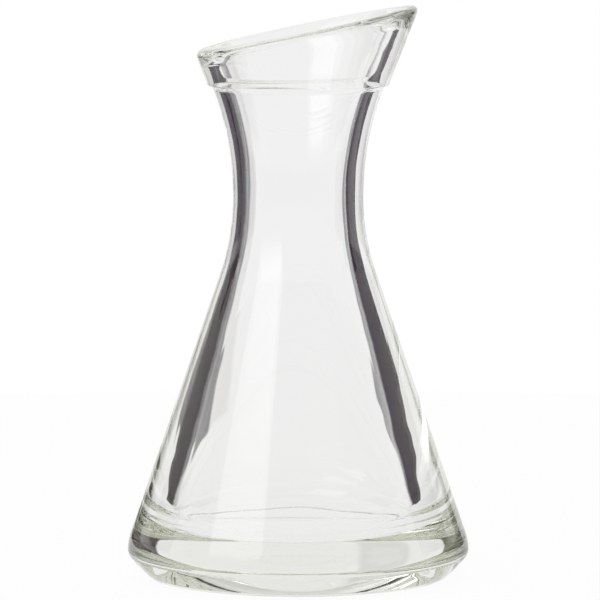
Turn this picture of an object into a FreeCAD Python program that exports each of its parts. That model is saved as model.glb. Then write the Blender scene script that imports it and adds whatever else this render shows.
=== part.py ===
"""Glass carafe: a conical body on a thick foot, a waisted neck, a stepped collar and a slanted lip.

FreeCAD 1.1 macro, millimetres. The frame stands on the rest ring: the origin is the centre of the
underside, +Z is up and +X points to the high side of the lip, which pours.
"""
import FreeCAD
import Part
import Sketcher
import math
import os

ORIGIN = -1          # Sketcher's own geometry: the sketch origin and its two axes
HORIZONTAL_AXIS = -1
VERTICAL_AXIS = -2
START = 1            # Sketcher's names for the points of a line or an arc
END = 2
CENTRE = 3
SHEET = "sizes"
NEAR = 0.01          # how near a point lies to count as on an edge

DRIVING_SIZES = [
    # alias, value, what it sets
    ("heel_width", 6.2, "from the widest radius in to the flat ring that the carafe stands on"),
    ("rest_width", 2.4, "width of that ring"),
    ("punt_height", 3.6, "rise of the shallow dome under the foot"),
    ("heel_bow", 45.0, "radius of the bowed bevel from the ring to the widest point"),
    ("heel_round", 3.0, "rounding where the bevel turns up into the wall"),
    ("base_radius", 47.9, "widest radius of the carafe"),
    ("base_height", 7.5, "height of the widest point"),
    ("foot_round", 12.6, "rounding above the widest point"),
    ("neck_radius", 18.2, "outer radius of the waist"),
    ("neck_height", 106.9, "height of the waist"),
    ("neck_lower_bow", 67.0, "radius of the outer curve below the waist"),
    ("neck_upper_bow", 82.6, "radius of the outer curve above the waist"),
    ("collar_rise", 30.6, "from the waist up to the underside of the collar"),
    ("collar_step", 1.1, "how far the collar stands out from the neck"),
    ("collar_round", 0.5, "rounding of the collar's lower edge"),
    ("flare_angle", 21.3, "slope of the mouth's flare from the vertical, degrees"),
    ("lip_rise", 15.8, "from the collar up to the lip plane, on the axis"),
    ("lip_slope", 11.6, "slope of the lip plane, degrees"),
    ("bevel_width", 0.45, "width of the bevel inside the mouth, along the lip"),
    ("bevel_height", 3.6, "height of that bevel, down the inner wall"),
    ("rim_round", 1.3, "rounding of the rim's outer edge"),
    ("rim_inner_round", 0.6, "rounding of the rim's inner edge"),
    ("floor_thickness", 11.6, "glass under the inner floor, from the plane of the ring"),
    ("floor_round", 6.7, "rounding between the inner floor and the inner wall"),
    ("foot_wall", 14.0, "from the widest radius in to the foot of the cavity"),
    ("neck_wall", 4.2, "glass at the waist"),
    ("rim_wall", 4.5, "glass at the mouth, measured level"),
    ("cavity_lower_bow", 84.0, "radius of the inner curve below the waist"),
    ("cavity_upper_bow", 92.0, "radius of the inner curve above the waist"),
    ("cavity_shift", 1.2, "the cavity sits off the axis at the foot, away from the high lip"),
    ("cavity_lean", 0.4, "lean of the cavity back towards the axis, degrees"),
]

REST_RADIUS = "(sizes.base_radius - sizes.heel_width)"
COLLAR_LEVEL = "(sizes.neck_height + sizes.collar_rise)"
LIP_LEVEL = "(sizes.neck_height + sizes.collar_rise + sizes.lip_rise)"
BLANK_LEVEL = "(sizes.neck_height + sizes.collar_rise + sizes.lip_rise + sizes.neck_radius)"


def make_sheet(doc):
    """Write the driving sizes into the sheet, one alias each, and return them as a dictionary."""
    sheet = doc.addObject("Spreadsheet::Sheet", SHEET)
    for row, (alias, value, meaning) in enumerate(DRIVING_SIZES, start=1):
        sheet.set("A%d" % row, alias)
        sheet.set("B%d" % row, str(value))
        sheet.setAlias("B%d" % row, alias)
        sheet.set("C%d" % row, meaning)
    doc.recompute()
    return {alias: float(sheet.get(alias)) for alias, _, _ in DRIVING_SIZES}


def new_sketch(body, name):
    """A sketch on the body's own XZ plane: its x is +X and its y is +Z."""
    plane = next(item for item in body.Origin.OriginFeatures if item.Role == "XZ_Plane")
    sketch = body.newObject("Sketcher::SketchObject", name)
    sketch.AttachmentSupport = (plane, [""])
    sketch.MapMode = "FlatFace"
    return sketch


def add_line(sketch, start, end):
    first = FreeCAD.Vector(start[0], start[1], 0)
    second = FreeCAD.Vector(end[0], end[1], 0)
    return sketch.addGeometry(Part.LineSegment(first, second), False)


def add_arc(sketch, centre, radius, first_angle, last_angle):
    """An arc drawn counter-clockwise between two angles, in radians."""
    middle = FreeCAD.Vector(centre[0], centre[1], 0)
    circle = Part.Circle(middle, FreeCAD.Vector(0, 0, 1), radius)
    return sketch.addGeometry(Part.ArcOfCircle(circle, first_angle, last_angle), False)


def relate(sketch, kind, *where):
    """A constraint without a size."""
    sketch.addConstraint(Sketcher.Constraint(kind, *where))


def measure(sketch, kind, where, expression):
    """A constraint whose size follows an expression on the sheet."""
    start_value = sketch.evalExpression(expression)
    start_value = float(getattr(start_value, "Value", start_value))
    if kind == "Angle":
        start_value = math.radians(start_value)
    index = sketch.addConstraint(Sketcher.Constraint(kind, *where, start_value))
    sketch.setExpression("Constraints[%d]" % index, expression)


def place_point(sketch, item, point, across=None, up=None):
    """Hold a point at a distance across and up from the sketch origin."""
    if across:
        measure(sketch, "DistanceX", (ORIGIN, START, item, point), across)
    if up:
        measure(sketch, "DistanceY", (ORIGIN, START, item, point), up)


def crossing_tangent(low, low_radius, high, high_radius):
    """Slope from the vertical of the line that leaves the low circle outside and the high one inside."""
    across = high[0] - low[0]
    up = high[1] - low[1]
    reach = math.hypot(across, up)
    return math.atan2(up, across) - math.acos((low_radius + high_radius) / reach)


def on_circle(centre, radius, angle):
    return (centre[0] + radius * math.cos(angle), centre[1] + radius * math.sin(angle))


def heel_start(size):
    """Centre of the bowed bevel, which runs from the ring's edge into the heel rounding."""
    ring = (size["base_radius"] - size["heel_width"], 0.0)
    heel = (size["base_radius"] - size["heel_round"], size["base_height"])
    to_ring = size["heel_bow"]
    to_heel = size["heel_bow"] - size["heel_round"]
    gap = math.dist(ring, heel)
    along = (to_ring ** 2 - to_heel ** 2 + gap ** 2) / (2 * gap)
    aside = math.sqrt(to_ring ** 2 - along ** 2)
    unit = ((heel[0] - ring[0]) / gap, (heel[1] - ring[1]) / gap)
    return (ring[0] + along * unit[0] - aside * unit[1], ring[1] + along * unit[1] + aside * unit[0])


def draw_outside(sketch, size):
    """Half of the outside: dome, ring, bevel, foot, cone, waist, collar and flare."""
    ring_outer = size["base_radius"] - size["heel_width"]
    ring_inner = ring_outer - size["rest_width"]
    dome_radius = (ring_inner ** 2 + size["punt_height"] ** 2) / (2 * size["punt_height"])
    dome_centre = (0.0, size["punt_height"] - dome_radius)
    dome_edge = math.atan2(-dome_centre[1], ring_inner)
    bevel_centre = heel_start(size)
    heel_centre = (size["base_radius"] - size["heel_round"], size["base_height"])
    foot_centre = (size["base_radius"] - size["foot_round"], size["base_height"])
    low_centre = (size["neck_radius"] + size["neck_lower_bow"], size["neck_height"])
    high_centre = (size["neck_radius"] + size["neck_upper_bow"], size["neck_height"])
    slope = crossing_tangent(foot_centre, size["foot_round"], low_centre, size["neck_lower_bow"])
    to_ring = math.atan2(-bevel_centre[1], ring_outer - bevel_centre[0])
    to_heel = math.atan2(heel_centre[1] - bevel_centre[1], heel_centre[0] - bevel_centre[0])
    to_collar = math.pi - math.asin(size["collar_rise"] / size["neck_upper_bow"])
    cone_foot = on_circle(foot_centre, size["foot_round"], slope)
    cone_top = on_circle(low_centre, size["neck_lower_bow"], math.pi + slope)
    neck_top = on_circle(high_centre, size["neck_upper_bow"], to_collar)
    collar_edge = (neck_top[0] + size["collar_step"], neck_top[1])
    blank_rise = size["lip_rise"] + size["neck_radius"]
    flare_run = blank_rise * math.tan(math.radians(size["flare_angle"]))
    blank_edge = (collar_edge[0] + flare_run, collar_edge[1] + blank_rise)
    blank_axis = (0.0, blank_edge[1])

    dome = add_arc(sketch, dome_centre, dome_radius, dome_edge, math.pi / 2)
    ring = add_line(sketch, (ring_inner, 0.0), (ring_outer, 0.0))
    bevel = add_arc(sketch, bevel_centre, size["heel_bow"], to_ring, to_heel)
    heel = add_arc(sketch, heel_centre, size["heel_round"], to_heel, 0.0)
    foot = add_arc(sketch, foot_centre, size["foot_round"], 0.0, slope)
    cone = add_line(sketch, cone_foot, cone_top)
    waist_low = add_arc(sketch, low_centre, size["neck_lower_bow"], math.pi, math.pi + slope)
    waist_high = add_arc(sketch, high_centre, size["neck_upper_bow"], to_collar, math.pi)
    ledge = add_line(sketch, neck_top, collar_edge)
    flare = add_line(sketch, collar_edge, blank_edge)
    top = add_line(sketch, blank_edge, blank_axis)
    axis = add_line(sketch, blank_axis, (0.0, size["punt_height"]))

    relate(sketch, "Coincident", dome, START, ring, START)
    relate(sketch, "Coincident", ring, END, bevel, START)
    relate(sketch, "Tangent", bevel, END, heel, START)
    relate(sketch, "Tangent", heel, END, foot, START)
    relate(sketch, "Tangent", foot, END, cone, START)
    relate(sketch, "Tangent", cone, END, waist_low, END)
    relate(sketch, "Tangent", waist_low, START, waist_high, END)
    relate(sketch, "Coincident", waist_high, START, ledge, START)
    relate(sketch, "Coincident", ledge, END, flare, START)
    relate(sketch, "Coincident", flare, END, top, START)
    relate(sketch, "Coincident", top, END, axis, START)
    relate(sketch, "Coincident", axis, END, dome, END)
    relate(sketch, "PointOnObject", dome, CENTRE, VERTICAL_AXIS)
    relate(sketch, "PointOnObject", dome, END, VERTICAL_AXIS)
    relate(sketch, "PointOnObject", top, END, VERTICAL_AXIS)
    relate(sketch, "PointOnObject", ring, START, HORIZONTAL_AXIS)
    relate(sketch, "Horizontal", ring)
    relate(sketch, "Horizontal", ledge)
    relate(sketch, "Horizontal", top)
    relate(sketch, "Horizontal", heel, CENTRE, heel, END)
    relate(sketch, "Horizontal", waist_high, CENTRE, waist_high, END)

    place_point(sketch, dome, END, up="sizes.punt_height")
    place_point(sketch, ring, START, across=REST_RADIUS + " - sizes.rest_width")
    place_point(sketch, ring, END, across=REST_RADIUS)
    place_point(sketch, foot, START, across="sizes.base_radius", up="sizes.base_height")
    place_point(sketch, waist_low, START, across="sizes.neck_radius", up="sizes.neck_height")
    place_point(sketch, ledge, START, up=COLLAR_LEVEL)
    place_point(sketch, flare, END, up=BLANK_LEVEL)
    measure(sketch, "Radius", (bevel,), "sizes.heel_bow")
    measure(sketch, "Radius", (heel,), "sizes.heel_round")
    measure(sketch, "Radius", (foot,), "sizes.foot_round")
    measure(sketch, "Radius", (waist_low,), "sizes.neck_lower_bow")
    measure(sketch, "Radius", (waist_high,), "sizes.neck_upper_bow")
    measure(sketch, "DistanceX", (ledge, START, ledge, END), "sizes.collar_step")
    measure(sketch, "Angle", (flare,), "90 - sizes.flare_angle")
    return collar_edge, blank_edge


def draw_cavity(sketch, size, blank_edge):
    """Half of the inside: floor, rounded corner, cone, waist and the flare, up past the lip."""
    foot_radius = size["base_radius"] - size["foot_wall"]
    corner_centre = (foot_radius - size["floor_round"], size["floor_thickness"] + size["floor_round"])
    waist_radius = size["neck_radius"] - size["neck_wall"]
    low_centre = (waist_radius + size["cavity_lower_bow"], size["neck_height"])
    high_centre = (waist_radius + size["cavity_upper_bow"], size["neck_height"])
    slope = crossing_tangent(corner_centre, size["floor_round"], low_centre, size["cavity_lower_bow"])
    mouth = (blank_edge[0] - size["rim_wall"], blank_edge[1])
    across = high_centre[0] - mouth[0]
    up = mouth[1] - high_centre[1]
    flare = math.atan2(across, up)
    flare = math.asin(size["cavity_upper_bow"] / math.hypot(across, up)) - flare
    floor_end = (corner_centre[0], size["floor_thickness"])
    cone_foot = on_circle(corner_centre, size["floor_round"], slope)
    cone_top = on_circle(low_centre, size["cavity_lower_bow"], math.pi + slope)
    flare_foot = on_circle(high_centre, size["cavity_upper_bow"], math.pi - flare)

    floor = add_line(sketch, (0.0, size["floor_thickness"]), floor_end)
    corner = add_arc(sketch, corner_centre, size["floor_round"], -math.pi / 2, slope)
    cone = add_line(sketch, cone_foot, cone_top)
    waist_low = add_arc(sketch, low_centre, size["cavity_lower_bow"], math.pi, math.pi + slope)
    waist_high = add_arc(sketch, high_centre, size["cavity_upper_bow"], math.pi - flare, math.pi)
    mouth_wall = add_line(sketch, flare_foot, mouth)
    top = add_line(sketch, mouth, (0.0, mouth[1]))
    axis = add_line(sketch, (0.0, mouth[1]), (0.0, size["floor_thickness"]))

    relate(sketch, "Tangent", floor, END, corner, START)
    relate(sketch, "Tangent", corner, END, cone, START)
    relate(sketch, "Tangent", cone, END, waist_low, END)
    relate(sketch, "Tangent", waist_low, START, waist_high, END)
    relate(sketch, "Tangent", waist_high, START, mouth_wall, START)
    relate(sketch, "Coincident", mouth_wall, END, top, START)
    relate(sketch, "Coincident", top, END, axis, START)
    relate(sketch, "Coincident", axis, END, floor, START)
    relate(sketch, "PointOnObject", floor, START, VERTICAL_AXIS)
    relate(sketch, "PointOnObject", top, END, VERTICAL_AXIS)
    relate(sketch, "Horizontal", floor)
    relate(sketch, "Horizontal", top)
    relate(sketch, "Horizontal", waist_high, CENTRE, waist_high, END)

    collar_radius = ("sizes.neck_radius + sizes.neck_upper_bow"
                     " - sqrt(sizes.neck_upper_bow ^ 2 - sizes.collar_rise ^ 2) + sizes.collar_step")
    flare_run = "(sizes.lip_rise + sizes.neck_radius) * tan(sizes.flare_angle)"
    place_point(sketch, floor, START, up="sizes.floor_thickness")
    place_point(sketch, corner, CENTRE, across="sizes.base_radius - sizes.foot_wall - sizes.floor_round")
    place_point(sketch, waist_low, START, across="sizes.neck_radius - sizes.neck_wall", up="sizes.neck_height")
    place_point(sketch, mouth_wall, END, across=collar_radius + " + " + flare_run + " - sizes.rim_wall",
                up=BLANK_LEVEL)
    measure(sketch, "Radius", (corner,), "sizes.floor_round")
    measure(sketch, "Radius", (waist_low,), "sizes.cavity_lower_bow")
    measure(sketch, "Radius", (waist_high,), "sizes.cavity_upper_bow")


def lean_cavity(sketch, size):
    """Set the cavity's own axis: shifted at the foot and leaning back, as a blown wall is uneven."""
    shift = FreeCAD.Vector(-size["cavity_shift"], 0, 0)
    lean = FreeCAD.Rotation(FreeCAD.Vector(0, 0, -1), size["cavity_lean"])
    sketch.AttachmentOffset = FreeCAD.Placement(shift, lean)
    sketch.setExpression("AttachmentOffset.Base.x", "-sizes.cavity_shift")
    sketch.setExpression("AttachmentOffset.Rotation.Angle", "sizes.cavity_lean")


def draw_lip_cut(sketch, size):
    """The wedge above the slanted lip, wider than the blank and open upwards."""
    reach = 2 * size["base_radius"]
    level = size["neck_height"] + size["collar_rise"] + size["lip_rise"]
    rise = reach * math.tan(math.radians(size["lip_slope"]))
    roof = level + rise + reach
    lip = add_line(sketch, (-reach, level - rise), (reach, level + rise))
    high_side = add_line(sketch, (reach, level + rise), (reach, roof))
    cover = add_line(sketch, (reach, roof), (-reach, roof))
    low_side = add_line(sketch, (-reach, roof), (-reach, level - rise))
    relate(sketch, "Coincident", lip, END, high_side, START)
    relate(sketch, "Coincident", high_side, END, cover, START)
    relate(sketch, "Coincident", cover, END, low_side, START)
    relate(sketch, "Coincident", low_side, END, lip, START)
    relate(sketch, "Vertical", high_side)
    relate(sketch, "Horizontal", cover)
    relate(sketch, "Vertical", low_side)
    run = "2 * sizes.base_radius"
    slope_rise = "2 * sizes.base_radius * tan(sizes.lip_slope)"
    place_point(sketch, lip, END, across=run, up=LIP_LEVEL + " + " + slope_rise)
    place_point(sketch, high_side, END, up=LIP_LEVEL + " + " + slope_rise + " + " + run)
    measure(sketch, "DistanceX", (lip, START, lip, END), "4 * sizes.base_radius")
    measure(sketch, "Angle", (lip,), "sizes.lip_slope")


def edges_where(shape, lies_on):
    """Names of the shape's edges whose every sampled point satisfies a test."""
    names = []
    for number, edge in enumerate(shape.Edges, start=1):
        if not edge.Degenerated and all(lies_on(point) for point in edge.discretize(8)):
            names.append("Edge%d" % number)
    return names


def lip_edges(shape, size, collar_edge, inside):
    """The edges in the plane of the lip: those round its inside, or those round its outside."""
    level = size["neck_height"] + size["collar_rise"] + size["lip_rise"]
    rise = math.tan(math.radians(size["lip_slope"]))
    flare = math.tan(math.radians(size["flare_angle"]))

    def in_ring(point):
        middle = collar_edge[0] + (point.z - collar_edge[1]) * flare - size["rim_wall"] / 2
        on_lip = abs(point.z - level - rise * point.x) < NEAR
        return on_lip and (math.hypot(point.x, point.y) < middle) == inside
    return edges_where(shape, in_ring)


def collar_edges(shape, corner):
    """The edges round the collar's lower corner, given as its radius and height."""
    def on_corner(point):
        return abs(point.z - corner[1]) < NEAR and abs(math.hypot(point.x, point.y) - corner[0]) < NEAR
    return edges_where(shape, on_corner)


def ring_radius(shape, names):
    """The mean radius of a closed ring of edges, from its length."""
    return sum(shape.getElement(name).Length for name in names) / (2 * math.pi)


def bevel_mouth(doc, body, base, name, size, collar_edge):
    """A slim bevel inside the mouth, with a distance of its own along the lip and down the wall."""
    names = lip_edges(base.Shape, size, collar_edge, True)
    bevel = body.newObject("PartDesign::Chamfer", name)
    bevel.Base = (base, names)
    bevel.ChamferType = "Two distances"
    bevel.setExpression("Size", "sizes.bevel_width")
    bevel.setExpression("Size2", "sizes.bevel_height")
    for flip in (False, True):
        bevel.FlipDirection = flip
        doc.recompute()
        widened = lip_edges(bevel.Shape, size, collar_edge, True)
        widening = ring_radius(bevel.Shape, widened) - ring_radius(base.Shape, names)
        if 0 < widening < 2 * size["bevel_width"]:
            return bevel
    raise RuntimeError("the mouth's bevel has its two distances on the wrong faces")


def round_edges(doc, body, base, name, names, alias):
    """Round the named edges by the radius that the sheet holds under alias."""
    if not names:
        raise RuntimeError(name + ": no edge to round")
    rounding = body.newObject("PartDesign::Fillet", name)
    rounding.Base = (base, names)
    rounding.setExpression("Radius", "sizes." + alias)
    doc.recompute()
    return rounding


def check_document(doc):
    """Stop if any object failed to recompute."""
    for item in doc.Objects:
        if "Invalid" in item.State or "Error" in item.State:
            raise RuntimeError("%s failed: %s" % (item.Name, item.State))


def check_sketch(sketch):
    if sketch.solve() != 0 or not sketch.FullyConstrained:
        raise RuntimeError(sketch.Name + " isn't fully constrained")


def make_carafe(doc, size):
    body = doc.addObject("PartDesign::Body", "carafe")
    body.Label = "carafe"

    outside = new_sketch(body, "outside_profile")
    collar_edge, blank_edge = draw_outside(outside, size)
    doc.recompute()
    check_sketch(outside)
    blank = body.newObject("PartDesign::Revolution", "blank")
    blank.Profile = outside
    blank.ReferenceAxis = (outside, ["V_Axis"])
    blank.Angle = 360.0
    doc.recompute()
    blank_volume = blank.Shape.Volume

    cavity_profile = new_sketch(body, "cavity_profile")
    draw_cavity(cavity_profile, size, blank_edge)
    lean_cavity(cavity_profile, size)
    doc.recompute()
    check_sketch(cavity_profile)
    cavity = body.newObject("PartDesign::Groove", "cavity")
    cavity.Profile = cavity_profile
    cavity.ReferenceAxis = (cavity_profile, ["V_Axis"])
    cavity.Angle = 360.0
    doc.recompute()
    hollow_volume = cavity.Shape.Volume

    lip_profile = new_sketch(body, "lip_profile")
    draw_lip_cut(lip_profile, size)
    doc.recompute()
    check_sketch(lip_profile)
    lip = body.newObject("PartDesign::Pocket", "slanted_lip")
    lip.Profile = lip_profile
    lip.Type = "ThroughAll"
    lip.SideType = "Symmetric"
    doc.recompute()
    if not blank_volume > hollow_volume > lip.Shape.Volume > 0:
        raise RuntimeError("the cavity or the lip cut took nothing away")

    collar = round_edges(doc, body, lip, "collar", collar_edges(lip.Shape, collar_edge), "collar_round")
    mouth = bevel_mouth(doc, body, collar, "mouth_bevel", size, collar_edge)
    names = lip_edges(mouth.Shape, size, collar_edge, True)
    inner_rim = round_edges(doc, body, mouth, "inner_rim", names, "rim_inner_round")
    names = lip_edges(inner_rim.Shape, size, collar_edge, False)
    rim = round_edges(doc, body, inner_rim, "rim", names, "rim_round")
    body.Tip = rim
    doc.recompute()
    check_document(doc)
    return body


def report(body):
    shape = body.Shape
    box = shape.optimalBoundingBox(True, False)
    print("%s: %d solid, %.1f cm3, %.1f x %.1f x %.1f mm" % (
        body.Label, len(shape.Solids), shape.Volume / 1000, box.XLength, box.YLength, box.ZLength))


def main():
    doc = FreeCAD.newDocument("carafe")
    size = make_sheet(doc)
    body = make_carafe(doc, size)
    if body.Shape.isNull() or not body.Shape.isValid():
        raise RuntimeError("the carafe's shape is not valid")
    report(body)
    os.makedirs("parts", exist_ok=True)
    body.Shape.exportStep(os.path.join("parts", body.Label + ".step"))


main()
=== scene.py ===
# %% [markdown]
# # A glass carafe
# The real thing is one piece of clear moulded glass: a cone with a thick, heavy foot, a narrow
# waist to hold it by, a stepped collar, and a mouth that is cut on a slant so that its high side
# pours. There is nothing inside it. Glass has hardly any colour of its own, so almost all that the
# eye sees is the room, bent by two curved walls. The work is therefore in three places: the true
# thickness of the wall, the true rounding of every edge, and a room worth looking at.

# %% Load the frame
import math
from collections import namedtuple

import bpy
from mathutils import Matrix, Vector


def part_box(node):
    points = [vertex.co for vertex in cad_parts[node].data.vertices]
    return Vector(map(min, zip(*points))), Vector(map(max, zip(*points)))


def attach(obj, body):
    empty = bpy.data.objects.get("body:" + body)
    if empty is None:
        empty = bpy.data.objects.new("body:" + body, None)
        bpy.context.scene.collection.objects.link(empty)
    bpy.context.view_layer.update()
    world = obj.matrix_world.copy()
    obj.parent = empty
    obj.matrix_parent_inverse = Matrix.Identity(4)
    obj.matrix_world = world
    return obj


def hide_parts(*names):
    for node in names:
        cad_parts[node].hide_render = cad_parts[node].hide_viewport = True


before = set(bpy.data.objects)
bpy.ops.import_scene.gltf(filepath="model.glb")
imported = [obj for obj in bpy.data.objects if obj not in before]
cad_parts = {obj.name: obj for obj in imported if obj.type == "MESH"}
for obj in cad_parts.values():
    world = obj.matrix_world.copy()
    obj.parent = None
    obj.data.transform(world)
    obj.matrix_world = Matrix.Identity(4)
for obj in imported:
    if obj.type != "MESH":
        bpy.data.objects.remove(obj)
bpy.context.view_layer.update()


# %% [markdown]
# ## The sizes
# A maker would draw half of the carafe's section and turn it about the axis. The section is made of
# a few arcs and straight runs, so the sizes below are all that is needed. The widest radius is read
# from the frame, a hair inside it, and the rest are the carafe's own sizes in metres. The frame's
# height is only read to compare it with what is drawn.

# %% Named sizes
MM = 0.001
HAIR = 0.002 * MM
node_low, node_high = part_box("carafe")
base_radius = min(-node_low.x, node_high.x, -node_low.y, node_high.y) - HAIR
frame_height = node_high.z

heel_width = 6.2 * MM        # from the widest radius in to the ring it stands on
rest_width = 2.4 * MM        # of that ring
punt_height = 3.6 * MM       # the shallow dome underneath
heel_bow = 45.0 * MM         # radius of the bowed bevel between the ring and the heel
heel_round = 3.0 * MM
base_height = 7.5 * MM       # where it is widest
foot_round = 12.6 * MM
neck_radius = 18.2 * MM      # at the narrowest, on the outside
neck_height = 106.9 * MM
neck_lower_bow = 67.0 * MM
neck_upper_bow = 82.6 * MM
collar_rise = 30.6 * MM      # from the narrowest level up to the collar
collar_step = 1.1 * MM
collar_round = 0.5 * MM
flare_slope = math.tan(math.radians(21.3))
lip_rise = 15.8 * MM         # from the collar up to the middle of the slanted lip
lip_tilt = math.radians(11.6)
rim_round = 2.9 * MM         # how far the outer rounding reaches from the edge
rim_inner_round = 0.45 * MM
mouth_bevel_width = 0.45 * MM
mouth_bevel_drop = 3.4 * MM

floor_thickness = 11.6 * MM
floor_round = 6.7 * MM
foot_wall = 14.0 * MM
neck_wall = 4.2 * MM
rim_wall = 4.5 * MM
cavity_lower_bow = 84.0 * MM
cavity_upper_bow = 92.0 * MM
cavity_shift = 1.2 * MM      # a moulded wall is never quite even: the hollow sits off the axis
cavity_lean = math.radians(0.4)

collar_level = neck_height + collar_rise
lip_level = collar_level + lip_rise
print("radius %.1f mm, frame height %.1f mm" % (base_radius / MM, frame_height / MM))

# %% [markdown]
# ## The half section
# A section can be drawn as a curve and sampled, or worked out point by point. Here each arc is
# stepped by a fixed small turn and each straight run by a fixed small length, so that glass gets
# evenly spaced rings. Even spacing matters: a long face beside a tiny one would smear its shading,
# and in glass that shows as a wobble in everything behind it.

# %% Arcs and runs
RUN_STEP = 1.5 * MM
TURN_STEP = math.radians(7.0)


def steps(length, step):
    return max(2, math.ceil(abs(length) / step))


def run(start, end, step=RUN_STEP):
    """Points from just after start up to end."""
    count = steps(math.dist(start, end), step)
    return [(start[0] + (end[0] - start[0]) * i / count,
             start[1] + (end[1] - start[1]) * i / count) for i in range(1, count + 1)]


def arc(centre, radius, first, last):
    """Points on an arc from just after the first angle up to the last."""
    count = max(steps(last - first, TURN_STEP), steps(radius * (last - first), RUN_STEP))
    points = []
    for i in range(1, count + 1):
        angle = first + (last - first) * i / count
        points.append((centre[0] + radius * math.cos(angle), centre[1] + radius * math.sin(angle)))
    return points


def crossing_slope(low, low_radius, high, high_radius):
    """Slope of the straight run that leaves a low round foot and enters a high hollow waist."""
    across = high[0] - low[0]
    up = high[1] - low[1]
    return math.atan2(up, across) - math.acos((low_radius + high_radius) / math.hypot(across, up))


# %% [markdown]
# ### The outside, up to the collar
# From the middle of the underside: a shallow dome, the flat ring that it stands on, a bowed bevel,
# a tight turn up into the wall, the cone, and the two long curves of the waist.

# %% Outside half section
REST_STEP = 0.6 * MM         # the ring it stands on is narrow, so its own rings are closer

ring_outer = base_radius - heel_width
ring_inner = ring_outer - rest_width
dome_radius = (ring_inner ** 2 + punt_height ** 2) / (2 * punt_height)
dome_centre = (0.0, punt_height - dome_radius)
heel_centre = (base_radius - heel_round, base_height)
foot_centre = (base_radius - foot_round, base_height)
waist_low = (neck_radius + neck_lower_bow, neck_height)
waist_high = (neck_radius + neck_upper_bow, neck_height)


def heel_bow_centre():
    """Centre of the bowed bevel: it starts at the ring and runs smoothly into the heel's turn."""
    to_ring = heel_bow
    to_heel = heel_bow - heel_round
    gap = math.dist((ring_outer, 0.0), heel_centre)
    along = (to_ring ** 2 - to_heel ** 2 + gap ** 2) / (2 * gap)
    aside = math.sqrt(to_ring ** 2 - along ** 2)
    unit_x = (heel_centre[0] - ring_outer) / gap
    unit_z = heel_centre[1] / gap
    return (ring_outer + along * unit_x - aside * unit_z, along * unit_z + aside * unit_x)


bow_centre = heel_bow_centre()
bow_first = math.atan2(-bow_centre[1], ring_outer - bow_centre[0])
bow_last = math.atan2(heel_centre[1] - bow_centre[1], heel_centre[0] - bow_centre[0])
cone_slope = crossing_slope(foot_centre, foot_round, waist_low, neck_lower_bow)
cone_top = (waist_low[0] - neck_lower_bow * math.cos(cone_slope),
            waist_low[1] - neck_lower_bow * math.sin(cone_slope))
collar_turn = math.asin(collar_rise / neck_upper_bow)

outside = arc(dome_centre, dome_radius, math.pi / 2, math.atan2(-dome_centre[1], ring_inner))
outside += run(outside[-1], (ring_outer, 0.0), REST_STEP)
outside += arc(bow_centre, heel_bow, bow_first, bow_last)
outside += arc(heel_centre, heel_round, bow_last, 0.0)
outside += arc(foot_centre, foot_round, 0.0, cone_slope)
outside += run(outside[-1], cone_top)
outside += arc(waist_low, neck_lower_bow, math.pi + cone_slope, math.pi)
outside += arc(waist_high, neck_upper_bow, math.pi, math.pi - collar_turn)
neck_top = outside[-1]
print("outside: %d rings, cone slope %.1f degrees" % (len(outside), math.degrees(cone_slope)))

# %% [markdown]
# ### The inside
# The hollow has its own floor, a rounded corner, a cone that is steeper than the outer one, so the
# wall thickens downwards where the glass settles, and its own waist. Above the waist it opens in one
# curve that runs straight into the mouth.

# %% Inside half section
collar_radius = neck_top[0] + collar_step
corner_centre = (base_radius - foot_wall - floor_round, floor_thickness + floor_round)
hollow_neck = neck_radius - neck_wall
hollow_low = (hollow_neck + cavity_lower_bow, neck_height)
hollow_high = (hollow_neck + cavity_upper_bow, neck_height)
hollow_slope = crossing_slope(corner_centre, floor_round, hollow_low, cavity_lower_bow)
hollow_cone_top = (hollow_low[0] - cavity_lower_bow * math.cos(hollow_slope),
                   hollow_low[1] - cavity_lower_bow * math.sin(hollow_slope))

# The mouth's cone is drawn higher than the lip, so that the slant cuts it all the way round.
mouth_rise = lip_rise + neck_radius
mouth = (collar_radius + mouth_rise * flare_slope - rim_wall, collar_level + mouth_rise)
mouth_across = hollow_high[0] - mouth[0]
mouth_up = mouth[1] - hollow_high[1]
mouth_turn = math.asin(cavity_upper_bow / math.hypot(mouth_across, mouth_up))
mouth_slope = mouth_turn - math.atan2(mouth_across, mouth_up)
throat_slope = math.tan(mouth_slope)

inside = run((0.0, floor_thickness), (corner_centre[0], floor_thickness))
inside += arc(corner_centre, floor_round, -math.pi / 2, hollow_slope)
inside += run(inside[-1], hollow_cone_top)
inside += arc(hollow_low, cavity_lower_bow, math.pi + hollow_slope, math.pi)
inside += arc(hollow_high, cavity_upper_bow, math.pi, math.pi - mouth_slope)
mouth_foot = inside[-1]
print("inside: %d rings, mouth slope %.1f degrees" % (len(inside), math.degrees(mouth_slope)))

# %% [markdown]
# ## Rings
# The body could be spun from the half section, but the mouth is cut on a slant, and a boolean cut
# through glass leaves long thin faces that shade badly. A slanted cut through a cone is an ellipse,
# so the carafe is instead drawn up ring by ring, as a glass worker draws it, and the rings of the
# mouth lean over little by little until the last one lies in the plane of the lip. A ring is
# written as its centre, its half width along the slant, its half width across, and its lean.

# %% Level and leaning rings
Ring = namedtuple("Ring", "x z along across lean")


def level_ring(point, shift=0.0):
    return Ring(shift, point[1], point[0], point[0], 0.0)


def leaning_ring(foot, slope, level, lean):
    """Where a plane at a level and lean cuts the cone that starts at foot and opens by slope."""
    rise = math.tan(lean)
    middle = foot[0] + (level - foot[1]) * slope
    squeeze = 1 - (rise * slope) ** 2
    centre = middle * rise * slope / squeeze
    return Ring(centre, level + rise * centre, middle / squeeze / math.cos(lean),
                middle / math.sqrt(squeeze), lean)


def blend_rings(first, second, share):
    return Ring(*(a + (b - a) * share for a, b in zip(first, second)))


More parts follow.
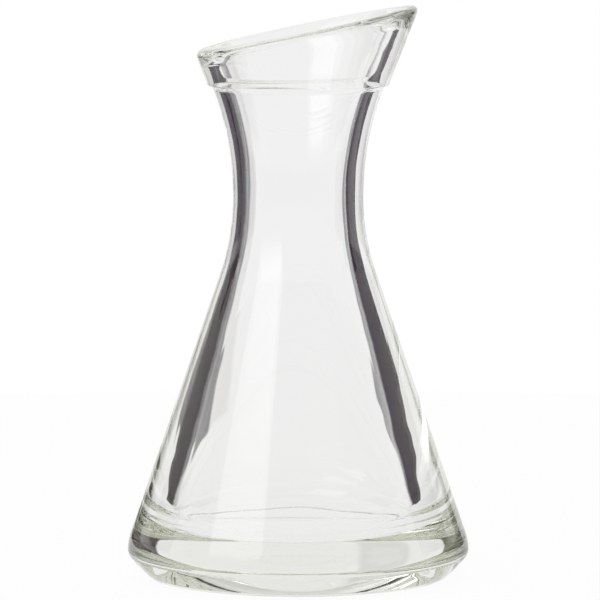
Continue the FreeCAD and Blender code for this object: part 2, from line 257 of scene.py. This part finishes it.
def straight(first, second, count):
    """Rings from just after the first up to the second, evenly spaced."""
    return [blend_rings(first, second, i / count) for i in range(1, count + 1)]


def rounded(before, corner, after, count):
    """Rings that leave one ring, round off a corner ring and arrive at a third."""
    rings = []
    for i in range(1, count + 1):
        share = i / count
        leaving = blend_rings(before, corner, share)
        arriving = blend_rings(corner, after, share)
        rings.append(blend_rings(leaving, arriving, share))
    return rings


def fan_of_rings(foot, slope, first_level, last_level, first_lean, last_lean):
    """Rings on a cone whose lean grows evenly."""
    count = steps(last_level - first_level, RUN_STEP)
    rings = []
    for i in range(1, count + 1):
        share = i / count
        level = first_level + (last_level - first_level) * share
        rings.append(leaning_ring(foot, slope, level, first_lean + (last_lean - first_lean) * share))
    return rings


# %% [markdown]
# ### The collar
# The collar is a small ledge where the neck steps out into the mouth, as a mould leaves it. It
# could be a bevel put on later, but a bevel tool knows nothing of the even spacing, so its rounded
# edge is written as rings like the rest.

# %% Rings of the collar
LEDGE_STEP = 0.4 * MM
COLLAR_EDGE_RINGS = 5

flare_foot = (collar_radius, collar_level)
ledge_end = (collar_radius - collar_round, collar_level)
edge_end = (collar_radius + collar_round * flare_slope, collar_level + collar_round)
ledge = [level_ring(point) for point in run(neck_top, ledge_end, LEDGE_STEP)]
ledge += rounded(ledge[-1], level_ring(flare_foot), level_ring(edge_end), COLLAR_EDGE_RINGS)
print("collar: %d rings, steps out by %.1f mm" % (len(ledge), collar_step / MM))

# %% [markdown]
# ### The mouth
# Outside, the flare runs up from the collar. Inside, the throat carries on from the waist's curve.
# Both end in the plane of the lip, where the rim is rounded: widely outside, where one drinks or
# pours, and hardly at all inside. A slim bevel, ground just inside the lip, runs parallel to it and
# shows as a fine line. Its two ends are rings on the throat's cone, so it needs no cut either.

# %% Rings of the mouth
RIM_ROUND_RINGS = 8
RIM_TOP_RINGS = 3
RIM_INNER_RINGS = 6
MOUTH_BEVEL_RINGS = 4
CREASE_RINGS = 4
crease_soft = 0.5 * MM       # the bevel's lower edge is softened by this much each way

crease_level = lip_level - mouth_bevel_drop
throat_level = crease_level - crease_soft
rim_start = leaning_ring(flare_foot, flare_slope, lip_level - rim_round, lip_tilt)
rim_outer = leaning_ring(flare_foot, flare_slope, lip_level, lip_tilt)
throat_end = leaning_ring(mouth_foot, throat_slope, lip_level, lip_tilt)
rim_inner = throat_end._replace(along=throat_end.along + mouth_bevel_width,
                                across=throat_end.across + mouth_bevel_width)
crease = leaning_ring(mouth_foot, throat_slope, crease_level, lip_tilt)
throat_top = leaning_ring(mouth_foot, throat_slope, throat_level, lip_tilt)
rim_width = rim_outer.across - rim_inner.across
top_first = blend_rings(rim_outer, rim_inner, rim_round / rim_width)
top_last = blend_rings(rim_inner, rim_outer, rim_inner_round / rim_width)
inner_end = blend_rings(rim_inner, crease, rim_inner_round / mouth_bevel_drop)
crease_first = blend_rings(crease, rim_inner, crease_soft / mouth_bevel_drop)

flare = fan_of_rings(flare_foot, flare_slope, edge_end[1], lip_level - rim_round, 0.0, lip_tilt)
rim = rounded(rim_start, rim_outer, top_first, RIM_ROUND_RINGS)
rim += straight(top_first, top_last, RIM_TOP_RINGS)
rim += rounded(top_last, rim_inner, inner_end, RIM_INNER_RINGS)
rim += straight(inner_end, crease_first, MOUTH_BEVEL_RINGS)
rim += rounded(crease_first, crease, throat_top, CREASE_RINGS)
throat = fan_of_rings(mouth_foot, throat_slope, throat_level, mouth_foot[1], lip_tilt, 0.0)
bevel_slope = math.degrees(math.atan((rim_inner.across - crease.across) / mouth_bevel_drop))
print("rim %.1f mm wide, bevel slope %.1f degrees" % (rim_width / MM, bevel_slope))

# %% [markdown]
# ### All the rings in order
# A carafe is one unbroken skin, so one list takes it from the middle of the underside up the
# outside, over the rim and down to the middle of the inner floor. The hollow of a moulded carafe
# never sits quite true. Its rings could be turned together as a second body, but it is simpler to
# move each of them to the side by what its own level asks for.


# %% One list of rings
def hollow_shift(level):
    """How far to the side the hollow's own axis is at a level."""
    return level * math.sin(cavity_lean) - cavity_shift * math.cos(cavity_lean)


rings = [level_ring(point) for point in outside] + ledge + flare + rim
for ring in throat:
    rings.append(ring._replace(x=ring.x + hollow_shift(ring.z)))
for point in reversed(inside[:-1]):
    rings.append(level_ring(point, hollow_shift(point[1])))
print("%d rings from the underside to the inner floor" % len(rings))

# %% [markdown]
# ## Drawing the glass
# Start with one small circle at the middle of the underside. Each further ring is an extrusion of
# the last, moved, levelled, widened and leaned over with the ordinary transform tools. The pivot is
# always given, because there is no window to take it from. At both ends the smallest ring is
# collapsed to a point, which closes the skin, so it is a true solid of glass with an inner and an
# outer face.

# %% Draw the carafe
RING_POINTS = 176
NO_TURN = 1e-9


def turn_about_y(centre, angle):
    """Raise the +X side by an angle. With no window the tool turns the other way round."""
    if abs(angle) > NO_TURN:
        bpy.ops.transform.rotate(value=angle, orient_axis="Y", center_override=centre)


def draw_next(last, ring):
    """Extrude the selected ring and bring the copy to its new place, size and lean."""
    move = (ring.x - last.x, 0.0, ring.z - last.z)
    size = (ring.along / last.along, ring.across / last.across, 1.0)
    centre = (ring.x, 0.0, ring.z)
    bpy.ops.mesh.extrude_region_move(TRANSFORM_OT_translate={"value": move})
    turn_about_y(centre, -last.lean)
    bpy.ops.transform.resize(value=size, center_override=centre)
    turn_about_y(centre, ring.lean)


first_ring = rings[0]
bpy.ops.object.select_all(action="DESELECT")
bpy.ops.mesh.primitive_circle_add(vertices=RING_POINTS, radius=first_ring.along,
                                  location=(0, 0, first_ring.z))
carafe = bpy.context.object
carafe.name = "carafe_glass"
bpy.ops.object.transform_apply(location=True, rotation=True, scale=True)
bpy.ops.object.mode_set(mode="EDIT")
bpy.ops.mesh.select_mode(type="VERT")
bpy.ops.mesh.select_all(action="SELECT")
for last, ring in zip(rings, rings[1:]):
    draw_next(last, ring)
bpy.ops.mesh.merge(type="COLLAPSE")
bpy.ops.object.mode_set(mode="OBJECT")
drawn_top = max(vertex.co.z for vertex in carafe.data.vertices)
print("drawn: %d points" % len(carafe.data.vertices))
print("top at %.2f mm, the frame's at %.2f mm" % (drawn_top / MM, frame_height / MM))

# %% [markdown]
# ### Closing the underside
# The inner floor was closed by the last collapse, and the underside still has the hole of the very
# first circle. Filling it with one wide face would leave a flat spot in the dome, so its points are
# picked by their place and collapsed as well. All faces are then turned outwards, which tells the
# glass where it begins and ends, and shaded smooth.

# %% Close the underside and turn all faces outwards
PICK_MARGIN = 1.01

pick_radius = first_ring.along * PICK_MARGIN
for vertex in carafe.data.vertices:
    low = vertex.co.z < floor_thickness / 2
    vertex.select = low and math.hypot(vertex.co.x, vertex.co.y) < pick_radius
bpy.ops.object.mode_set(mode="EDIT")
bpy.ops.mesh.merge(type="COLLAPSE")
bpy.ops.mesh.select_all(action="SELECT")
bpy.ops.mesh.normals_make_consistent(inside=False)
bpy.ops.object.mode_set(mode="OBJECT")
bpy.ops.object.shade_smooth()
print("closed: %d faces" % len(carafe.data.polygons))

# %% [markdown]
# ## The uneven inside
# The outside takes the mould's shape, and the inside hardly touches anything while the glass is
# soft, so it is a little uneven and the dark edges seen through it waver. The rings could be drawn
# uneven one by one, or noise could be painted on the shading. A fine cloud pattern is pressed into
# the inner wall instead, because that is one step and is real shape. It fades out towards the
# mouth, which is ground and polished true.

# %% Uneven inner wall
UNEVEN_DEPTH = 0.10 * MM
UNEVEN_SIZE = 11.0 * MM
UNEVEN_FADE = 20 * MM

inner_wall = carafe.vertex_groups.new(name="inner wall")
inner_points = 0
for vertex in carafe.data.vertices:
    inward = vertex.normal.x * vertex.co.x + vertex.normal.y * vertex.co.y < 0
    fade = min(1.0, (collar_level - vertex.co.z) / UNEVEN_FADE)
    if inward and fade > 0 and vertex.co.z > floor_thickness + floor_round:
        inner_wall.add([vertex.index], fade, "REPLACE")
        inner_points += 1
clouds = bpy.data.textures.new("uneven glass", "CLOUDS")
clouds.noise_scale = UNEVEN_SIZE
clouds.noise_depth = 1
uneven = carafe.modifiers.new("uneven", "DISPLACE")
uneven.texture = clouds
uneven.texture_coords = "LOCAL"
uneven.strength = UNEVEN_DEPTH
uneven.mid_level = 0.5
uneven.vertex_group = "inner wall"
bpy.ops.object.modifier_apply(modifier="uneven")
print("inner wall: %d points, uneven by %.2f mm in all" % (inner_points, UNEVEN_DEPTH / MM))

# %% [markdown]
# ## The glass
# Clear soda-lime glass bends light by 1.52 and is polished smooth. The only colour is a faint
# green-grey that builds up over centimetres of the thick foot, so it belongs in the volume and not
# on the surface: an absorption that is nothing in the lip and shows in the foot.

# %% Glass material
GLASS_BEND = 1.52
GLASS_TINT = (0.955, 0.959, 0.939, 1.0)
TINT_DENSITY = 25.0


def glass_material():
    material = bpy.data.materials.new("clear soda-lime glass")
    material.use_nodes = True
    nodes = material.node_tree.nodes
    shader = nodes["Principled BSDF"]
    shader.inputs["Base Color"].default_value = (1.0, 1.0, 1.0, 1.0)
    shader.inputs["Roughness"].default_value = 0.0
    shader.inputs["IOR"].default_value = GLASS_BEND
    shader.inputs["Transmission Weight"].default_value = 1.0
    depth = nodes.new("ShaderNodeVolumeAbsorption")
    depth.inputs["Color"].default_value = GLASS_TINT
    depth.inputs["Density"].default_value = TINT_DENSITY
    output = nodes["Material Output"]
    material.node_tree.links.new(depth.outputs["Volume"], output.inputs["Volume"])
    return material


carafe.data.materials.append(glass_material())
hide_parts("carafe")
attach(carafe, "root")
print("material:", carafe.data.materials[0].name)

# %% [markdown]
# ## The room
# Glass is lit by its surroundings: a pale back, dark flags that draw its edges, two tinted cards
# hung above them, whose colours run into the rim and the foot, and a softbox at the front left. The
# room could be a picture wrapped round the scene, or real cards standing on the table. Here each
# card is written as a heading and a height with a soft edge, because that is how far away things
# look in a curved wall, and the same few lines serve the sky and the table.

# %% Cards round the carafe
FLAG = (0.040, 0.031, 0.041)
SHADE = (0.76, 0.75, 0.75)
OLIVE = (0.12, 0.135, 0.075)
BROWN = (0.065, 0.048, 0.045)
WHITE = (1.0, 1.0, 1.0)

# Angles are in degrees. A card's foot begins this many metres out on the table, and a card with no
# foot hangs above it.
Card = namedtuple("Card", "name heading half_width height half_height colour foot")
CARDS = [
    Card("left shade", 110.0, 7.0, -8.0, 30.0, SHADE, 0.25),
    Card("left flag", 131.5, 20.5, -7.0, 11.5, FLAG, 0.34),
    Card("left flag near edge", 117.0, 6.0, -7.0, 11.5, FLAG, 0.25),
    Card("right flag", 45.0, 17.0, -7.0, 11.5, FLAG, 0.33),
    Card("left upper flag", 153.0, 18.0, 21.0, 12.0, OLIVE, None),
    Card("right upper flag", 26.0, 22.0, 21.0, 12.0, BROWN, None),
]
print("%d cards, %d with a foot on the table" % (len(CARDS), sum(1 for card in CARDS if card.foot)))

# %% [markdown]
# ### Sums in a node tree
# Both the sky and the table have to answer the same question: does this card cover this direction?
# The nodes could be placed and joined one by one in each of them. A small class that adds a node
# and joins it in one call keeps the two short, and keeps them alike.


# %% A node tree that adds up
class Tree:
    """A node tree with the few sums that the room needs."""

    def __init__(self, owner):
        owner.use_nodes = True
        self.nodes = owner.node_tree.nodes
        self.links = owner.node_tree.links
        self.nodes.clear()

    def sum_of(self, operation, *parts):
        """A sum of numbers and of other nodes' outputs."""
        node = self.nodes.new("ShaderNodeMath")
        node.operation = operation
        for number, part in enumerate(parts):
            if isinstance(part, (int, float)):
                node.inputs[number].default_value = part
            else:
                self.links.new(part, node.inputs[number])
        return node.outputs[0]

    def step(self, value, first, last):
        """Nothing below first, one above last, smooth between."""
        node = self.nodes.new("ShaderNodeMapRange")
        node.interpolation_type = "SMOOTHSTEP"
        self.links.new(value, node.inputs["Value"])
        node.inputs["From Min"].default_value = first
        node.inputs["From Max"].default_value = last
        return node.outputs["Result"]

    def within(self, angle, middle, half, soft=1.0):
        """One where an angle is within half of the middle, nothing elsewhere, all in degrees."""
        turned = self.sum_of("SUBTRACT", angle, middle)
        away = self.sum_of("ABSOLUTE", self.sum_of("WRAP", turned, 180.0, -180.0))
        return self.sum_of("SUBTRACT", 1.0, self.step(away, half - soft, half + soft))

    def mixed(self, share, first, tint):
        """A colour with a share of a tint over it."""
        node = self.nodes.new("ShaderNodeMix")
        node.data_type = "RGBA"
        self.links.new(share, node.inputs[0])
        sockets = [socket for socket in node.inputs if socket.type == "RGBA"]
        self.links.new(first, sockets[0])
        sockets[1].default_value = (*tint, 1.0)
        return [socket for socket in node.outputs if socket.type == "RGBA"][0]

    def grey(self, level):
        """A grey from a number or from another node's output."""
        node = self.nodes.new("ShaderNodeCombineColor")
        for channel in node.inputs[:3]:
            if isinstance(level, (int, float)):
                channel.default_value = level
            else:
                self.links.new(level, channel)
        return node.outputs[0]

    def split(self, vector):
        """The X, Y and Z of a place or a direction."""
        node = self.nodes.new("ShaderNodeSeparateXYZ")
        self.links.new(vector, node.inputs[0])
        return node.outputs

    def heading(self, parts):
        """The compass angle of a place or a direction, in degrees from +X towards +Y."""
        turn = self.sum_of("ARCTAN2", parts["Y"], parts["X"])
        return self.sum_of("MULTIPLY", turn, 180 / math.pi)

    def end(self, kind, shader):
        """Join the finished shader to the tree's output."""
        self.links.new(shader, self.nodes.new(kind).inputs["Surface"])

    def mixed_shaders(self, share, first, second):
        mix = self.nodes.new("ShaderNodeMixShader")
        self.links.new(share, mix.inputs["Fac"])
        self.links.new(first, mix.inputs[1])
        self.links.new(second, mix.inputs[2])
        return mix.outputs[0]


# %% [markdown]
# ## The floor
# The table is a plain pale sheet. The camera sees it white with a soft shadow on it, and the glass
# shows it a little duller. A lit sheet alone would turn grey away from the softbox, and a glowing
# one alone would lose the shadow, so it is mostly glow to whatever looks at it and partly paint.
# The feet of the flags stand on it: without them the dark strips would stop short of the foot.

# %% Floor
FLOOR_RADIUS = 0.45
FLOOR_DROP = 0.2 * MM        # keeps the sheet clear of the ring that stands on it
FLOOR_LEVEL = 0.89
FLOOR_GLOW = 0.955
FLOOR_PAINT = (0.92, 0.92, 0.92, 1.0)
FOOT_BLUR = 0.01


def floor_colour(tree, camera_ray):
    """The sheet's own grey with the cards' feet on it, and white to the camera."""
    place = tree.nodes.new("ShaderNodeTexCoord").outputs["Object"]
    heading = tree.heading(tree.split(place))
    away = tree.nodes.new("ShaderNodeVectorMath")
    away.operation = "LENGTH"
    tree.links.new(place, away.inputs[0])
    colour = tree.grey(FLOOR_LEVEL)
    for card in CARDS:
        if card.foot:
            past = tree.step(away.outputs["Value"], card.foot - FOOT_BLUR, card.foot + FOOT_BLUR)
            facing = tree.within(heading, card.heading, card.half_width)
            colour = tree.mixed(tree.sum_of("MULTIPLY", facing, past), colour, card.colour)
    return tree.mixed(camera_ray, colour, WHITE)


def floor_material():
    material = bpy.data.materials.new("pale floor")
    tree = Tree(material)
    path = tree.nodes.new("ShaderNodeLightPath").outputs
    looked_at = tree.sum_of("MAXIMUM", path["Is Camera Ray"], path["Is Glossy Ray"])
    looked_at = tree.sum_of("MAXIMUM", looked_at, path["Is Transmission Ray"])
    paint = tree.nodes.new("ShaderNodeBsdfDiffuse")
    paint.inputs["Color"].default_value = FLOOR_PAINT
    glow = tree.nodes.new("ShaderNodeEmission")
    tree.links.new(floor_colour(tree, path["Is Camera Ray"]), glow.inputs["Color"])
    share = tree.sum_of("MULTIPLY", looked_at, FLOOR_GLOW)
    shader = tree.mixed_shaders(share, paint.outputs[0], glow.outputs[0])
    tree.end("ShaderNodeOutputMaterial", shader)
    return material


bpy.ops.object.select_all(action="DESELECT")
bpy.ops.mesh.primitive_circle_add(vertices=96, radius=FLOOR_RADIUS, fill_type="NGON",
                                  location=(0, 0, -FLOOR_DROP))
floor = bpy.context.object
floor.name = "floor"
floor.data.materials.append(floor_material())
print("floor: %.2f m across" % (2 * FLOOR_RADIUS))

# %% [markdown]
# ## The sky
# Behind the carafe the room is pale, in front of it a little duller, and the cards hang in it. Real
# walls would need lamps of their own and would throw their light about. A world colour that is
# worked out from the direction gives the same view through the glass, with nothing to catch the
# light, and the camera itself sees a plain white behind the carafe.

# %% Sky
BACK_LEVEL = 0.90
FRONT_LEVEL = 0.72
FRONT_HEADING = 270.0
FRONT_HALF_WIDTH = 90.0
FRONT_BLUR = 30.0


def sky_world():
    world = bpy.data.worlds.new("studio room")
    tree = Tree(world)
    parts = tree.split(tree.nodes.new("ShaderNodeTexCoord").outputs["Generated"])
    heading = tree.heading(parts)
    height = tree.sum_of("MULTIPLY", tree.sum_of("ARCSINE", parts["Z"]), 180 / math.pi)
    front = tree.within(heading, FRONT_HEADING, FRONT_HALF_WIDTH, FRONT_BLUR)
    level = tree.sum_of("MULTIPLY_ADD", front, FRONT_LEVEL - BACK_LEVEL, BACK_LEVEL)
    colour = tree.grey(level)
    for card in CARDS:
        facing = tree.within(heading, card.heading, card.half_width)
        beside = tree.within(height, card.height, card.half_height)
        colour = tree.mixed(tree.sum_of("MULTIPLY", facing, beside), colour, card.colour)
    path = tree.nodes.new("ShaderNodeLightPath").outputs
    background = tree.nodes.new("ShaderNodeBackground")
    tree.links.new(tree.mixed(path["Is Camera Ray"], colour, WHITE), background.inputs["Color"])
    tree.end("ShaderNodeOutputWorld", background.outputs[0])
    return world


bpy.context.scene.world = sky_world()
print("sky: %.2f behind and %.2f in front" % (BACK_LEVEL, FRONT_LEVEL))

# %% [markdown]
# ## The softbox
# The one lamp of the room is a tall cloth box at the front left, which draws the pale band down the
# cone. An area lamp would do, but its even face has hard ends, and they show in polished glass. This
# one is a sheet of cloth whose light fades out towards its ends, and is nothing at its border, where
# the sky shows through it. The camera doesn't see it.

# %% Softbox
SOFTBOX_WIDTH = 0.75
SOFTBOX_HEIGHT = 0.9
SOFTBOX_LEVEL = 2.0
SOFTBOX_PLACE = (-0.66, -0.64, 0.62)
SOFTBOX_TARGET = (0, 0, 0.08)

# The light begins to fade at these shares of the width and the height from the middle, and it is
# gone at the border, which is at one half.
FADE_ACROSS = 0.44
FADE_UP = 0.15
BORDER = 0.50


def softbox_material():
    material = bpy.data.materials.new("softbox cloth")
    tree = Tree(material)
    parts = tree.split(tree.nodes.new("ShaderNodeTexCoord").outputs["Object"])
    across = tree.sum_of("ABSOLUTE", parts["X"])
    up = tree.sum_of("ABSOLUTE", parts["Y"])
    past_side = tree.step(across, SOFTBOX_WIDTH * FADE_ACROSS, SOFTBOX_WIDTH * BORDER)
    past_end = tree.step(up, SOFTBOX_HEIGHT * FADE_UP, SOFTBOX_HEIGHT * BORDER)
    before_side = tree.sum_of("SUBTRACT", 1.0, past_side)
    before_end = tree.sum_of("SUBTRACT", 1.0, past_end)
    glow = tree.nodes.new("ShaderNodeEmission")
    glow.inputs["Strength"].default_value = SOFTBOX_LEVEL
    clear = tree.nodes.new("ShaderNodeBsdfTransparent")
    share = tree.sum_of("MULTIPLY", before_side, before_end)
    shader = tree.mixed_shaders(share, clear.outputs[0], glow.outputs[0])
    tree.end("ShaderNodeOutputMaterial", shader)
    return material


def aim(thing, target):
    """Turn a thing from where it stands so that it looks at a target."""
    thing.rotation_euler = (Vector(target) - thing.location).to_track_quat("-Z", "Y").to_euler()


bpy.ops.object.select_all(action="DESELECT")
bpy.ops.mesh.primitive_plane_add(size=1.0)
softbox = bpy.context.object
softbox.name = "softbox"
softbox.scale = (SOFTBOX_WIDTH, SOFTBOX_HEIGHT, 1.0)
bpy.ops.object.transform_apply(location=False, rotation=False, scale=True)
softbox.location = SOFTBOX_PLACE
aim(softbox, SOFTBOX_TARGET)
softbox.visible_camera = False
softbox.data.materials.append(softbox_material())
print("softbox: %.2f m from the carafe" % softbox.location.length)

# %% [markdown]
# ## The camera
# A small glass thing is seen best from a long way off with a long lens: its sides stay true and its
# mouth and foot are seen from nearly the same height. Close up with a short lens, the mouth would
# open and the foot would swell. It stands a little above the carafe and looks slightly down.

# %% Camera
SENSOR_WIDTH = 36.0
LENS_LENGTH = 319.6
CAMERA_PLACE = (0.0005, -1.484, 0.2245)
CAMERA_TARGET = (0.0005, 0.0, 0.0775)

camera_data = bpy.data.cameras.new("camera")
camera_data.sensor_width = SENSOR_WIDTH
camera_data.lens = LENS_LENGTH
camera = bpy.data.objects.new("camera", camera_data)
bpy.context.scene.collection.objects.link(camera)
camera.location = CAMERA_PLACE
aim(camera, CAMERA_TARGET)
bpy.context.scene.camera = camera
look_down = 90 - math.degrees(camera.rotation_euler.x)
print("camera: %.2f m away, looks down %.1f degrees" % (-CAMERA_PLACE[1], look_down))

# %% [markdown]
# ## Settings
# Light crosses four surfaces in the middle of the carafe, and runs round inside the glass many
# times in the rim and the foot. With few bounces those paths end black, and with twice as many as here
# they come out paler than a real rim, which is olive and partly dark. The view stays plain.

# %% View settings
LIGHT_BOUNCES = 32

scene = bpy.context.scene
scene.view_settings.view_transform = "Standard"
scene.cycles.max_bounces = LIGHT_BOUNCES
scene.cycles.transmission_bounces = LIGHT_BOUNCES
scene.cycles.glossy_bounces = LIGHT_BOUNCES
print("bounces:", LIGHT_BOUNCES)
